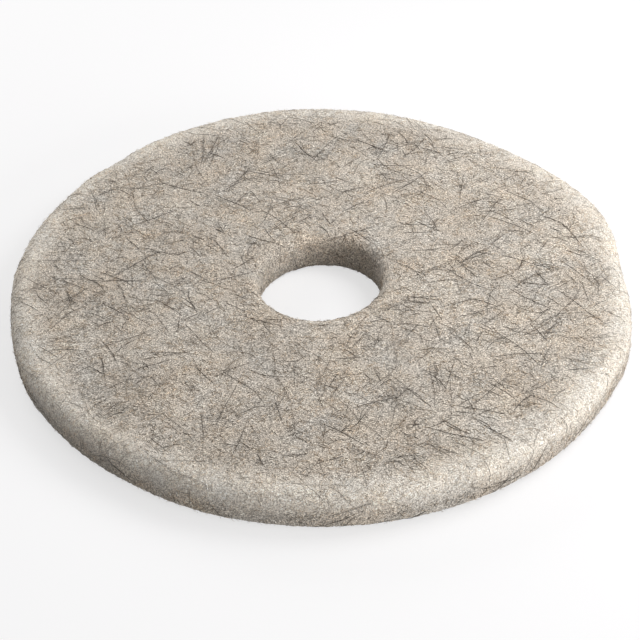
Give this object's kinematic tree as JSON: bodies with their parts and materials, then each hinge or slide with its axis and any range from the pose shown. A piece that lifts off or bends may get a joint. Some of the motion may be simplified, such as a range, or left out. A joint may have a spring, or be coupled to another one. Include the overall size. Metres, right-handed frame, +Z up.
{
  "type": "floor polishing pad",
  "caption": "Round nonwoven fibre pad with a centre hole, for a walk-behind floor polishing machine.",
  "frame": {"origin": "on the axis of the centre hole, in the face that rests on the floor", "axes": "+Z up through the thickness, along the axis that the pad spins about; +X and +Y lie in the floor face"},
  "size_m": [0.4048, 0.4091, 0.0254],
  "materials": {
    "nonwoven_fibre": "matt, open web of fine tan and grey fibres with scattered dark hairs"
  },
  "bodies": {
    "root": {"pad_disc": "nonwoven_fibre"}
  },
  "joints": []
}
